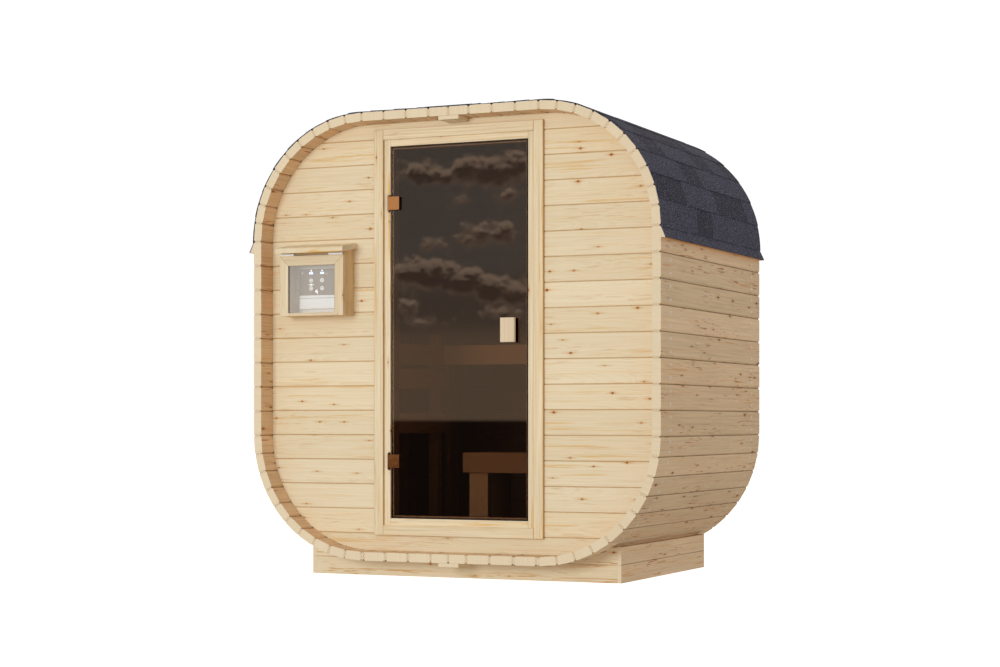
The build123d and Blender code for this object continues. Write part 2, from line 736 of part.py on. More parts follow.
def make_control():
    left, right = box_left + control_side_gap, box_right - control_side_gap
    bottom = box_bottom + control_lift
    top = bottom + control_height
    body_front = wall_front - control_depth
    body = bar(left, right, body_front, wall_front, bottom, top)
    save("control_body", fillet(body.edges().filter_by(Axis.Y), control_round))
    screen = bar(left, right, wall_front - screen_depth, body_front, bottom + control_base, top)
    save("control_screen", screen)


make_shell()
make_walls()
make_battens()
make_door_frame()
make_casing()
make_hinges()
make_glass_door()
make_handles()
make_plinth()
make_roof()
make_upper_bench()
make_lower_bench()
make_guard()
make_box()
make_box_door()
make_box_hinges()
make_control()
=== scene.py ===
import math
import random

import bmesh
import bpy
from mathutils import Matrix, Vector


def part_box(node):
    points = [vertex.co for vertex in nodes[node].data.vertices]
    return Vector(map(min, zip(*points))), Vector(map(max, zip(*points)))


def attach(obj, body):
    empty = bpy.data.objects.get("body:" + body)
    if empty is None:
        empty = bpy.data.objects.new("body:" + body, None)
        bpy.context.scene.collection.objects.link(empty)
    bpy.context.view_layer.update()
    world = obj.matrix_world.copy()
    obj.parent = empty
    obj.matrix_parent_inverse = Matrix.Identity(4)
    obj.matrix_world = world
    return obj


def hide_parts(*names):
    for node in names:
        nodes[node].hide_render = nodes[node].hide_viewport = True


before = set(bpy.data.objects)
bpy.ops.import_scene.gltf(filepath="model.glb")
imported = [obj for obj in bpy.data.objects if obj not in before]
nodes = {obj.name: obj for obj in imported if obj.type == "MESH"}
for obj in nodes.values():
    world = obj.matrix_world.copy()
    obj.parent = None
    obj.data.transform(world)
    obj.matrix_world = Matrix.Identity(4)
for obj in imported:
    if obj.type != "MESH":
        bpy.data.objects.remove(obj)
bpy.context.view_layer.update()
print("frame loaded:", len(nodes), "nodes")

# sizes of the shell, in metres, as the solids have them
shell = {"boardCover": 0.120, "boardThick": 0.042, "cornerX": 0.466, "cornerRadius": 0.604,
         "lowCornerZ": 0.684, "highCornerZ": 1.644, "cornerStaves": 10, "middleHalf": 0.106,
         "middleLess": 0.012}
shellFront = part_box("shell_left")[0].y
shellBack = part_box("shell_left")[1].y
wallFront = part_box("front_wall_left")[0].y
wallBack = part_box("back_wall")[1].y
shellHalf = shell["cornerX"] + shell["cornerRadius"]
shellTop = shell["highCornerZ"] + shell["cornerRadius"]
shellLow = shell["lowCornerZ"] - shell["cornerRadius"]
cornerStep = math.pi / 2 / shell["cornerStaves"]


class Wire:  # one socket's output, written like a number
    def __init__(self, sheet, socket):
        self.sheet, self.socket = sheet, socket

    def calc(self, operation, *others):
        return self.sheet.calc(operation, self, *others)

    def other(self, output):  # another output of the same node
        return Wire(self.sheet, self.socket.node.outputs[output])

    def __add__(self, other):
        return self.calc("ADD", other)

    def __radd__(self, other):
        return self.sheet.calc("ADD", other, self)

    def __sub__(self, other):
        return self.calc("SUBTRACT", other)

    def __rsub__(self, other):
        return self.sheet.calc("SUBTRACT", other, self)

    def __mul__(self, other):
        return self.calc("MULTIPLY", other)

    def __rmul__(self, other):
        return self.sheet.calc("MULTIPLY", other, self)

    def __truediv__(self, other):
        return self.calc("DIVIDE", other)

    def __rtruediv__(self, other):
        return self.sheet.calc("DIVIDE", other, self)

    def __pow__(self, other):
        return self.calc("POWER", other)

    def __neg__(self):
        return self.sheet.calc("MULTIPLY", self, -1)

    def __abs__(self):
        return self.calc("ABSOLUTE")

    def __gt__(self, other):
        return self.calc("GREATER_THAN", other)

    def __lt__(self, other):
        return self.calc("LESS_THAN", other)


class Sheet:  # a node tree that is written as expressions
    def __init__(self, tree):
        self.tree = tree
        tree.nodes.clear()

    def node(self, kind, settings=None, inputs=None, output=0):
        made = self.tree.nodes.new("ShaderNode" + kind)
        for name, value in (settings or {}).items():
            setattr(made, name, value)
        for name, value in (inputs or {}).items():
            if isinstance(value, Wire):
                self.tree.links.new(value.socket, made.inputs[name])
            else:
                made.inputs[name].default_value = value
        return Wire(self, made.outputs[output]) if made.outputs else made

    def calc(self, operation, *values):
        return self.node("Math", {"operation": operation}, dict(enumerate(values)))

    def vector(self, x, y, z=0.0):
        return self.node("CombineXYZ", None, {"X": x, "Y": y, "Z": z})

    def parts(self, wire):
        split = self.node("SeparateXYZ", None, {0: wire})
        return split, split.other("Y"), split.other("Z")

    def step(self, low, high, value):  # smooth step from 0 at low to 1 at high
        return self.node("MapRange", {"interpolation_type": "SMOOTHSTEP"},
                         {"Value": value, "From Min": low, "From Max": high})

    def noise(self, vector, scale=1.0, detail=2.0, rough=0.5):
        return self.node("TexNoise", None,
                         {"Vector": vector, "Scale": scale, "Detail": detail, "Roughness": rough})

    def chance(self, number, seed):  # three random numbers for a whole number
        dots = self.node("TexWhiteNoise", {"noise_dimensions": "1D"}, {"W": number * 1.37 + seed}, "Color")
        return self.parts(dots)

    def blend(self, share, first, second):  # from the first colour to the second
        pick = {0: share, 6: first, 7: second}
        for index in (6, 7):
            if isinstance(pick[index], tuple):
                pick[index] = (*pick[index], 1.0)
        return self.node("Mix", {"data_type": "RGBA"}, pick, 2)

    def bump(self, height, distance, strength=1.0):
        return self.node("Bump", None, {"Height": height, "Distance": distance, "Strength": strength})

    def finish(self, **sockets):
        shader = self.node("BsdfPrincipled", None,
                           {name.replace("_", " "): value for name, value in sockets.items()})
        self.node("OutputMaterial", None, {"Surface": shader})


def newMaterial(name):
    material = bpy.data.materials.new(name)
    material.use_nodes = True
    return material, Sheet(material.node_tree)


def tone(code):  # a colour as it looks on the screen, as the shader counts it
    levels = [int(code[i:i + 2], 16) / 255 for i in (0, 2, 4)]
    return tuple(v / 12.92 if v < 0.04045 else ((v + 0.055) / 1.055) ** 2.4 for v in levels)


def dress(material, *names):
    for name in names:
        mesh = nodes[name].data
        mesh.materials.clear()
        mesh.materials.append(material)


# wood

spruce = {"pale": tone("F1E1C2"), "line": tone("D2AC6C"), "honey": tone("DAA648"), "knot": tone("B2560A"),
          "core": tone("461804"), "dash": tone("C68A34"), "seam": tone("C4944A"), "end": tone("EDDCBE"),
          "ring": 0.0048, "lineShare": 0.20, "honeyShare": 0.52, "dashShare": 0.30, "knots": 0.66,
          "knotSize": 0.0076, "tone": 0.035, "rough": 0.58, "fibre": 0.26, "streaky": 0.12, "heatBrownAndShade": 0.92,
          "seamShare": 0.65, "stretch": 0.80}
knotForm = {"patch": 0.21, "least": 0.35, "wobbleScale": 160, "wobble": 0.0016, "rim": (0.72, 0.95),
            "heart": (0.25, 0.50), "halo": (0.8, 2.4), "tail": (0.030, 0.0040), "push": 0.006,
            "pushSpread": 0.0009, "tailShare": 0.55, "haloShare": 0.25, "knotShare": 0.96,
            "heartShare": 0.85}
logForm = {"across": 0.13, "sway": 0.05, "nearest": 0.022, "deeper": 0.10, "drift": 0.13, "ripple": 2.4,
           "endRings": 0.10, "endFibre": 0.08, "endCloud": 0.12, "darker": 0.10}
# how often each kind of strand repeats in a metre: along the board, across it, and into it or per board
strandForm = {"sway": (1.5, 2.2, 2.2), "faint": (2.1, 16, 0), "fibre": (9, 420, 60),
              "thread": (1.8, 165, 20), "streak": (2.2, 95, 20), "field": (1.3, 9, 1.7),
              "flecks": (9, 140, 30), "crowd": (2.3, 17, 2.9)}
strandFrom = {"streak": (0.55, 0.66), "field": (0.44, 0.60), "flecks": (0.58, 0.67),
              "crowd": (0.48, 0.62)}
relief = {"late": 0.35, "fibre": 0.4, "core": 0.5, "deep": 0.0004, "strength": 0.7}
staveForm = {"grooveDeep": 0.008, "seam": (0.0006, 0.0030), "bead": 0.016, "beadLine": (0.0008, 0.0022),
             "notchWide": (0.0030, 0.0058), "notchDeep": (0.0040, 0.0075)}
# tones painted on the staves: warm bounce light under the overhangs, heat-brown with painted shade in the
# cabin, bead marks, painted shadow in the notches
staveTones = {"under": (0.30, tone("D08C4A")), "cabin": tone("462E1C"), "bead": (0.45, tone("B07C40")),
              "notch": (0.85, tone("2C1A0C"))}


def runs(along, across, cover, start, jointed=False):  # boards side by side along one axis
    def layout(s, p):
        place = (p[across] - start) / cover
        number = place.calc("FLOOR")
        offset = (place - number - 0.5) * cover
        return number, p[along], offset, p[3 - along - across], cover / 2 - abs(offset) if jointed else 1
    return layout


def upright(along, across, split):  # single members to either side of a middle
    def layout(s, p):
        return p[across] > split, p[along], p[across] - split, p[3 - along - across], 1
    return layout


def cornerStaves(s, p):
    side, high = p[0] > 0, p[2] > (shell["lowCornerZ"] + shell["highCornerZ"]) / 2
    x = abs(p[0]) - shell["cornerX"]
    z = (p[2] - shell["highCornerZ"]).calc("MAXIMUM", shell["lowCornerZ"] - p[2])
    turn = s.calc("ARCTAN2", z, x) / cornerStep
    number = turn.calc("FLOOR")
    reach = (x * x + z * z).calc("SQRT")
    across = (turn - number - 0.5) * cornerStep * reach
    return number + side * 20 + high * 40, p[1], across, reach, cornerStep / 2 * reach - abs(across)


def levelStaves(s, p):
    middle = shell["middleHalf"] - shell["middleLess"] * (p[2] < 1)
    place = (abs(p[0]) - middle) / shell["boardCover"]
    inner = place < 0
    number = place.calc("FLOOR")
    outerSpot = (place - number - 0.5) * shell["boardCover"]
    across = outerSpot + inner * (abs(p[0]) - middle * 0.5 - outerSpot)
    half = shell["boardCover"] / 2 + inner * (middle - shell["boardCover"]) * 0.5
    return number + (p[0] > 0) * 20 + (p[2] > 1) * 40, p[1], across, p[2], half - abs(across)


def either(picks, first, second, joint=None):  # two layouts in one node, told apart by place
    def layout(s, p):
        share = picks(s, p)
        one, two = first(s, p), second(s, p)
        return tuple(b + (a - b) * share for a, b in zip(one[:4], two[:4])) + (joint(s, p) if joint else 1,)
    return layout


def outlined(name, layout, joint=None):  # with a line along the edges of the front of a member
    low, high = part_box(name)

    def lined(s, p):
        aside = (high.x - low.x) / 2 - abs(p[0] - (low.x + high.x) / 2)
        above = (high.z - low.z) / 2 - abs(p[2] - (low.z + high.z) / 2)
        edge = aside.calc("MINIMUM", above)
        return (*layout(s, p)[:4], edge.calc("MINIMUM", joint(s, p)) if joint else edge)
    return lined


def inward(s, p):  # how far a point of the shell lies below its outer face
    x = (abs(p[0]) - shell["cornerX"]).calc("MAXIMUM", 0)
    over = (p[2] - shell["highCornerZ"]).calc("MAXIMUM", shell["lowCornerZ"] - p[2])
    z = over.calc("MAXIMUM", 0)
    return shell["cornerRadius"] - (x * x + z * z).calc("SQRT")


def woodMaterial(name, layout, endAxis, seed, look=None, staves=False, paint=None):
    look = {**spruce, **(look or {})}
    material, s = newMaterial(name)
    spot = s.node("TexCoord", None, None, "Object")
    p = s.parts(spot)
    facing = s.parts(spot.other("Normal"))
    number, along, across, depth, edge = layout(s, p)
    r1, r2, r3 = s.chance(number, seed)
    q1, q2, q3 = s.chance(number, seed + 7.7)
    length = along + r1 * 40 + seed

    def strands(kind, third, detail=2.0, rough=0.5):  # noise that is stretched along the board
        often = strandForm[kind]
        return s.noise(s.vector(length * often[0], across * often[1], third * often[2]), 1.0, detail, rough)

    # a knot or none in each patch of a board
    patch = knotForm["patch"]
    kx, ky = length / patch, across / shell["boardCover"] + number * 3.3 + q1 * 9
    cells = s.node("TexVoronoi", {"voronoi_dimensions": "2D", "feature": "F1"},
                   {"Vector": s.vector(kx, ky), "Scale": 1.0, "Randomness": 0.9}, "Position")
    px, py = s.parts(cells)[:2]
    c1, c2, c3 = s.parts(cells.other("Color"))
    dx, dy = (kx - px) * patch, (ky - py) * shell["boardCover"]
    away = ((dx * look["stretch"]) ** 2 + dy ** 2).calc("SQRT")
    there = c1 < look["knots"]
    size = look["knotSize"] * (knotForm["least"] + (1 - knotForm["least"]) * c2 * c2)
    ragged = s.vector(length * knotForm["wobbleScale"], across * knotForm["wobbleScale"])
    near = away + (s.noise(ragged, 1.0, 1.0) - 0.5) * knotForm["wobble"]
    knot = there * (1 - s.step(*knotForm["rim"], near / size)) * (0.6 + 0.4 * c3)
    core = there * (1 - s.step(*knotForm["heart"], near / size)) * s.step(0.2, 0.7, c3)
    halo = there * (1 - s.step(*knotForm["halo"], near / size))
    tailLong, tailWide = knotForm["tail"]
    tail = there * s.calc("EXPONENT", -((dx / tailLong) ** 2 + (dy / tailWide) ** 2))
    push = there * knotForm["push"] * s.calc("EXPONENT", -(away * away) / knotForm["pushSpread"])

    # growth rings of the log that the board was cut from
    sway = strands("sway", depth) - 0.5
    drift = s.noise(s.vector(length * 0.8, number * 2.1, seed), 1.0, 1.0) - 0.5
    offX = across + (r2 - 0.5) * logForm["across"] + sway * logForm["sway"]
    offY = logForm["nearest"] + r3 * logForm["deeper"] + drift * logForm["drift"]
    rings = ((offX * offX + offY * offY).calc("SQRT") + push) / look["ring"]
    ripple = s.noise(s.vector(rings * 0.35, number * 4.0, seed), 1.0, 1.0) - 0.5
    rings = rings + ripple * logForm["ripple"]
    part = rings.calc("FRACT")
    late = s.step(0.35, 0.88, part) * (1 - s.step(0.90, 1.0, part))

    # fibres, threads, honey-coloured streaks and short dark dashes
    faint = 0.25 + 0.75 * strands("faint", 0.0)
    fibre = strands("fibre", depth)
    thread = strands("thread", depth)
    streak = strands("streak", depth, 3.0, 0.6)
    field = strands("field", number, 1.0)
    honey = s.step(*strandFrom["streak"], streak) * s.step(*strandFrom["field"], field)
    flecks = s.step(*strandFrom["flecks"], strands("flecks", depth))
    dash = flecks * s.step(*strandFrom["crowd"], strands("crowd", number, 1.0))

    grain = late * faint * look["lineShare"] + (fibre - 0.5) * look["fibre"]
    grain = grain + (thread - 0.45) * look["fibre"] * 2.5
    colour = s.blend(grain, look["pale"], look["line"])
    colour = s.blend(honey * look["honeyShare"], colour, look["honey"])
    colour = s.blend(dash * look["dashShare"], colour, look["dash"])
    colour = s.blend(tail * knotForm["tailShare"] + halo * knotForm["haloShare"], colour, look["dash"])
    colour = s.blend(knot * knotForm["knotShare"], colour, look["knot"])
    colour = s.blend(core * knotForm["heartShare"], colour, look["core"])
    colour = s.blend(s.step(0.2, 1.0, q2) * logForm["darker"], colour, look["line"])
    end = 0
    if endAxis is not None:  # cut ends are paler, and their rings are faint arcs
        end = s.step(0.7, 0.8, abs(facing[endAxis]))
        arcs = late * logForm["endRings"] + (fibre - 0.5) * logForm["endFibre"]
        arcs = arcs + field * logForm["endCloud"]
        colour = s.blend(end, colour, s.blend(arcs, look["end"], look["line"]))
    if isinstance(edge, Wire):  # the bottom of the grooves and the joint lines on cut ends are darker: the joints' own colour, with painted shade in the grooves
        seam = 1 - s.step(*staveForm["seam"], edge)
        colour = s.blend(seam * (1 - end * 0.8) * look["seamShare"], colour, look["seam"])
    if staves:  # painted warm bounce light under the overhangs, heat-browned wood and painted shade in the cabin, marks of the beads and painted shadow in the notches on the cut ends
        deep = inward(s, p)
        thick = shell["boardThick"] - staveForm["grooveDeep"]
        inner = deep > thick
        cabin = (p[1] > wallFront + thick) * (p[1] < wallBack - thick)
        outside = (p[1] < wallFront) + (p[1] > wallBack)
        # painted warm bounce light on the inner faces under the overhangs
        warmBounceShare, warmBounceTone = staveTones["under"]
        colour = s.blend(inner * outside * (1 - end) * warmBounceShare, colour, warmBounceTone)
        # heat-browned wood, darkened further as painted shade, on the inner faces in the cabin
        colour = s.blend(inner * cabin * look["heatBrownAndShade"], colour, staveTones["cabin"])
        if endAxis is not None:
            zigzag = abs((deep / staveForm["bead"]).calc("FRACT") - 0.5) * staveForm["bead"]
            bead = 1 - s.step(*staveForm["beadLine"], abs(edge - zigzag))
            # painted shadow in the V-notches beside the joints, near the outer face
            beside = 1 - s.step(*staveForm["notchWide"], edge)
            notch = beside * (1 - s.step(*staveForm["notchDeep"], deep))
            for mark, (share, markTone) in ((bead, staveTones["bead"]), (notch, staveTones["notch"])):
                colour = s.blend(end * mark * share, colour, markTone)
    if paint:
        colour = s.blend(paint[0](s, p), colour, paint[1])
    shade = 1 + ((q3 - 0.5) * 2 * look["tone"] + (streak - 0.5) * look["streaky"]) * (1 - end * 0.8)
    colour = s.node("HueSaturation", None, {"Value": shade, "Color": colour})
    height = late * relief["late"] - fibre * relief["fibre"] - core * relief["core"]
    s.finish(Base_Color=colour, Roughness=look["rough"] + late * 0.08 - knot * 0.15,
             Normal=s.bump(height, relief["deep"], relief["strength"]), Specular_IOR_Level=0.35)
    return material


boxLow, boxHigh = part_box("control_box")
boxLining = {"panel": 0.018, "slack": 0.001, "lip": 0.004, "behind": 0.012, "paint": tone("F6F1EA")}


def boxInside(s, p):  # 1 on the inner faces of the control box
    less = boxLining["panel"] - boxLining["slack"]
    aside = abs(p[0] - (boxLow.x + boxHigh.x) / 2) < (boxHigh.x - boxLow.x) / 2 - less
    above = abs(p[2] - (boxLow.z + boxHigh.z) / 2) < (boxHigh.z - boxLow.z) / 2 - less
    return aside * above * (p[1] > boxLow.y + boxLining["lip"]) * (p[1] < wallFront + boxLining["behind"])


boxPaint = (boxInside, boxLining["paint"])
lowestBoard = 0.086  # height of the lowest board of the end walls
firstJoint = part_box("front_wall_under_door")[0].z + lowestBoard
wallLayout = runs(0, 2, shell["boardCover"], firstJoint - shell["boardCover"], True)
dress(woodMaterial("spruceFront", wallLayout, None, 3.1, staves=True, paint=boxPaint),
      "front_wall_left", "front_wall_right", "front_wall_over_door", "front_wall_under_door")
dress(woodMaterial("spruceBack", wallLayout, None, 8.4, staves=True), "back_wall")
sideLayout = runs(1, 2, shell["boardCover"], shell["lowCornerZ"], True)
sideLook = {"pale": tone("EED8B6"), "honey": tone("C68E48"), "dash": tone("A8560E"), "seam": tone("4A2C10"),
            "knot": tone("843406"), "core": tone("3A1202"), "lineShare": 0.14, "honeyShare": 0.60,
            "dashShare": 0.80, "knots": 0.52, "fibre": 0.48, "knotSize": 0.0085, "tone": 0.065,
            "streaky": 0.52, "seamShare": 0.75, "stretch": 0.50}
dress(woodMaterial("spruceSideLeft", sideLayout, 1, 12.3, sideLook, True), "shell_left")
dress(woodMaterial("spruceSideRight", sideLayout, 1, 15.9, sideLook, True), "shell_right")
dress(woodMaterial("spruceCorners", cornerStaves, 1, 21.5, sideLook, True),
      "shell_corner_top_left", "shell_corner_top_right",
      "shell_corner_bottom_left", "shell_corner_bottom_right")
dress(woodMaterial("spruceLevel", levelStaves, 1, 25.2, sideLook, True), "shell_top", "shell_bottom")

trimLook = {"knot": tone("84461A"), "knots": 0.85, "knotSize": 0.0050, "tone": 0.04, "honeyShare": 0.80,
            "streaky": 0.42, "fibre": 0.55}
frameEdge = 0.3985  # from the middle of the door to the joint between the casing's boards
# painted shade on the frame behind the glass: where it starts, how strong, its colour
reveal = {"stopDeep": 0.0145, "share": 0.80, "tone": tone("5A3A20")}


def shadeBehindStop(s, p):  # painted shade on the part of the frame that lies behind the glass
    return (p[1] > wallFront + reveal["stopDeep"]) * reveal["share"]


casingLayout = either(lambda s, p: abs(p[0]) > frameEdge, upright(2, 0, 0.0), runs(0, 2, 1.2, 0.0))
casingLayout = outlined("door_casing", casingLayout, lambda s, p: abs(abs(p[0]) - frameEdge))
dress(woodMaterial("spruceCasing", casingLayout, None, 31.0, trimLook), "door_casing")
for name, layout, endAxis, seed in (("door_frame_left", upright(2, 0, 0.0), 2, 33.0),
                                    ("door_frame_right", upright(2, 0, 0.0), 2, 34.0),
                                    ("door_frame_head", runs(0, 2, 1.2, 0.0), 0, 35.0),
                                    ("door_frame_sill", runs(0, 2, 1.2, 0.0), 0, 36.0)):
    dress(woodMaterial(name + "_wood", outlined(name, layout), endAxis, seed, trimLook,
                       paint=(shadeBehindStop, reveal["tone"])), name)
dress(woodMaterial("spruceBattens", runs(1, 0, 1.0, -0.5), 1, 37.0, trimLook),
      "ceiling_battens", "floor_batten")
# the eave boards are painted warmer, as painted warm bounce light on their undersides
eaveWarmLook = {**trimLook, "pale": tone("DDAE70"), "line": tone("C48A48")}
dress(woodMaterial("eaveWood", runs(1, 0, 4.0, -2.0), 1, 39.0, eaveWarmLook),
      "eave_board_left", "eave_board_right")
plinthPitch = 0.085
plinthLook = {"seam": tone("B98A55"), "dashShare": 0.75, "honeyShare": 0.8, "honey": tone("C98A48")}
dress(woodMaterial("sprucePlinthEnds", runs(0, 2, plinthPitch, 0.0, True), 0, 41.0, plinthLook),
      "plinth_front", "plinth_back")
plinthSideLook = {**sideLook, "seam": tone("8A6540")}
dress(woodMaterial("sprucePlinthSides", runs(1, 2, plinthPitch, 0.0, True), 1, 43.0, plinthSideLook),
      "plinth_left", "plinth_right")

benchLook = {"pale": tone("DDBE8F"), "line": tone("BE9358"), "knots": 0.2, "rough": 0.5}
slatPitch = 0.108
dress(woodMaterial("benchSeats", runs(0, 1, slatPitch, 0.0), 0, 51.0, benchLook),
      "upper_bench_seat", "lower_bench_seat")
fasciaLook = {**benchLook, "pale": tone("C4A277"), "line": tone("A07A48")}
fasciaThick = 0.0221
for name, seed in (("upper_bench_frame", 53.0), ("lower_bench_frame", 55.0)):
    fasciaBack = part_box(name)[0].y + fasciaThick
    frameLayout = either(lambda s, p, back=fasciaBack: p[1] < back,
                         runs(0, 2, 3.0, 0.0), runs(1, 0, 0.3, 0.0))
    dress(woodMaterial(name + "_wood", frameLayout, None, seed, fasciaLook), name)
shadow = {"from": -0.1, "share": 0.9, "tone": tone("2E2015")}  # some legs and posts stand in the dark
# a dark copy of the bench wood: painted shade for the upper bench's legs
shadedLegLook = {**benchLook, "pale": tone("6E5236"), "line": tone("553C24")}
postLook = {**benchLook, "pale": tone("AC8760"), "line": tone("8C6842")}
dress(woodMaterial("benchLegs", runs(2, 0, 0.31, 0.0), 2, 57.0, benchLook,
                   paint=(lambda s, p: (p[1] > shadow["from"]) * shadow["share"], shadow["tone"])),
      "lower_bench_legs")
dress(woodMaterial("farLegsShaded", runs(2, 0, 0.31, 0.0), 2, 56.0, shadedLegLook), "upper_bench_legs")
dress(woodMaterial("guardPosts", runs(2, 0, 0.31, 0.0), 2, 58.0, postLook,
                   paint=(lambda s, p: (p[1] < shadow["from"]) * shadow["share"], shadow["tone"])),
      "guard_posts")
dress(woodMaterial("guardRails", runs(1, 2, 0.111, 0.6), 1, 59.0, postLook), "guard_rails")

flap = {"rail": 0.048, "sill": 0.016, "aside": 0.0008, "under": 0.001}
flapLow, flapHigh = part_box("box_door_frame")
boxMiddle = (flapLow.x + flapHigh.x) / 2
flapHalf = (flapHigh.x - flapLow.x) / 2 - flap["rail"]
flapTopMiddle = flapHigh.z - flap["rail"]


def flapUprights(s, p):  # the uprights and the mitres at the top of the flap
    aside = abs(p[0] - boxMiddle) - flapHalf
    above = p[2] - flapTopMiddle
    return (aside > 0) * (aside > above)


def flapMitres(s, p):  # how far a point lies from the mitre lines of the flap
    return abs(abs(p[0] - boxMiddle) - flapHalf - (p[2] - flapTopMiddle)) * 0.7


def flapRevealShade(s, p):  # 1 on the sides of the flap's opening, which get painted shade
    aside = abs(p[0] - boxMiddle) < flapHalf + flap["aside"]
    return aside * (p[2] > flapLow.z + flap["sill"]) * (p[2] < flapTopMiddle - flap["under"])


flapLayout = either(flapUprights, upright(2, 0, boxMiddle), runs(0, 2, 0.5, 0.0), flapMitres)
flapLook = {**trimLook, "pale": tone("EAD9BB"), "seamShare": 0.45, "seam": tone("B98A55")}
# painted shade on the sides of the flap's opening
dress(woodMaterial("flapWood", flapLayout, None, 61.0, flapLook, paint=(flapRevealShade, tone("7A6450"))),
      "box_door_frame")
boxLook = {**trimLook, "pale": tone("E6C797"), "line": tone("CB9E62")}
dress(woodMaterial("boxWood", upright(2, 0, boxMiddle), None, 63.0, boxLook, paint=boxPaint), "control_box")
dress(woodMaterial("boxRoofWood", runs(0, 1, 1.0, -1.0), 0, 65.0, trimLook), "control_box_roof")
glassLow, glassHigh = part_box("door_glass")
gripReach = 0.0165  # from the glass to just past the faces of the handles that look at it


def gripBackShade(s, p):  # 1 on those faces, which are painted black as shade
    return abs(p[1] - (glassLow.y + glassHigh.y) / 2) < (glassHigh.y - glassLow.y) / 2 + gripReach


handleLook = {"pale": tone("EBD6B8"), "line": tone("CFA675"), "knots": 0.0, "honeyShare": 0.3,
              "rough": 0.42}
# the faces of the handles that look at the glass are painted black as shade
dress(woodMaterial("handleWood", runs(2, 0, 1.0, -0.5), 2, 67.0, handleLook,
                   paint=(gripBackShade, tone("120E0C"))), "door_handles")
print("wood done")


# metal, plastic, glass

brushing = {"cloudScale": 60.0, "cloud": 0.5, "brush": 0.25, "dark": 0.55, "deep": 0.0001, "strength": 0.4}


def brushedMetal(s, base, grain):  # its colour, its brush marks, and the place of a point
    spot = s.node("TexCoord", None, None, "Object")
    p = s.parts(spot)
    brushed = s.noise(s.vector(*(part * often for part, often in zip(p, grain))), 1.0, 2.0)
    cloud = s.noise(spot, brushing["cloudScale"], 3.0)
    share = (cloud - 0.4) * brushing["cloud"] + (brushed - 0.5) * brushing["brush"]
    return s.blend(share, base, tuple(v * brushing["dark"] for v in base)), brushed, p


def metalMaterial(name, base, rough, grain, metallic):
    material, s = newMaterial(name)
    colour, brushed, p = brushedMetal(s, base, grain)
    s.finish(Base_Color=colour, Metallic=metallic, Roughness=rough + (brushed - 0.5) * 0.15,
             Normal=s.bump(brushed, brushing["deep"], brushing["strength"]))
    return material


bronze = {"base": tone("B6865C"), "black": tone("0E0C0B"), "rough": 0.10, "grain": (40, 900, 900),
          "plate": 0.0012, "plateTall": 0.064, "waist": 0.024, "clampPast": 0.001, "leafShort": 0.0035}


def bronzeMaterial(name, blackFrom, blackTo, waist=0.0):  # satin bronze plates on a black block
    material, s = newMaterial(name)
    colour, brushed, p = brushedMetal(s, bronze["base"], bronze["grain"])
    block = (p[1] > blackFrom) * (p[1] < blackTo)
    if waist:
        low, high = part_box("door_hinge_clamps")
        level = abs(abs(p[2] - (low.z + high.z) / 2) - (high.z - low.z - bronze["plateTall"]) / 2)
        block = block.calc("MAXIMUM", level < waist)
    colour = s.blend(block, colour, bronze["black"])
    s.finish(Base_Color=colour, Metallic=1 - block,
             Roughness=bronze["rough"] + (brushed - 0.5) * 0.12 + block * 0.3,
             Normal=s.bump(brushed, brushing["deep"], brushing["strength"]))
    return material


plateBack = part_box("door_hinge_clamps")[0].y + bronze["plate"]
dress(bronzeMaterial("bronzeClamps", plateBack, wallFront + bronze["clampPast"]), "door_hinge_clamps")
dress(bronzeMaterial("bronzeLeaves", plateBack, wallFront - bronze["leafShort"], bronze["waist"]),
      "door_hinge_leaves")
steelMaterial = metalMaterial("zincSteel", tone("F6F9FF"), 0.3, (500, 500, 500), 0.0)
whiteMaterial = metalMaterial("whiteHinge", tone("FAFBFC"), 0.35, (300, 300, 300), 0.05)
dress(whiteMaterial, "box_door_hinges", "box_hinge_leaves")


def plasticMaterial(name, base, rough):
    material, s = newMaterial(name)
    spot = s.node("TexCoord", None, None, "Object")
    grain = s.noise(spot, 900.0, 2.0)
    cloud = s.noise(spot, 25.0, 2.0)
    colour = s.blend((cloud - 0.5) * 0.12, tuple(base), tuple(v * 0.7 for v in base))
    s.finish(Base_Color=colour, Roughness=rough + (grain - 0.5) * 0.12, Normal=s.bump(grain, 0.0001, 0.25))
    return material


dress(plasticMaterial("gasketRubber", tone("15120F"), 0.6), "door_hinge_gaskets")
dress(plasticMaterial("postBlack", tone("120F0D"), 0.4), "door_handle_posts")
dress(plasticMaterial("controlCasing", tone("FDFCFB"), 0.38), "control_body")
dress(plasticMaterial("controlPanel", tone("9A8E82"), 0.28), "control_screen")

doorPane = {"tint": tone("7F6557"), "deep": tone("735A4C"), "scale": 6.0, "smear": 0.10, "rough": 0.004,
            "spread": 0.004, "clear": 1.0}
boxPane = {"tint": tone("FAFAF9"), "deep": tone("ECECEA"), "scale": 9.0, "smear": 0.2, "rough": 0.01,
           "spread": 0.02, "clear": 0.88}
for name, pane, look in (("door_glass", "bronzeGlass", doorPane),
                         ("box_door_glass", "clearGlass", boxPane)):
    material, s = newMaterial(pane)
    smear = s.noise(s.node("TexCoord", None, None, "Object"), look["scale"], 3.0)
    s.finish(Base_Color=s.blend(smear * look["smear"], look["tint"], look["deep"]), IOR=1.5,
             Roughness=look["rough"] + smear * look["spread"], Transmission_Weight=look["clear"])
    dress(material, name)
    nodes[name].visible_shadow = False
    nodes[name].visible_diffuse = False
print("metal and glass done")

# seal on the stop behind the edge of the door glass

seal = {"reveal": 0.006, "width": 0.0085, "round": 0.0018, "clear": 0.0006, "stop": 0.014,
        "above": 0.0002, "foot": 0.0003}


def newPiece(name, mesh, material, body="sauna"):
    bmesh.ops.recalc_face_normals(mesh, faces=mesh.faces)
    data = bpy.data.meshes.new(name)
    mesh.to_mesh(data)
    mesh.free()
    piece = bpy.data.objects.new(name, data)
    bpy.context.scene.collection.objects.link(piece)
    data.materials.append(material)
    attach(piece, body)
    return piece


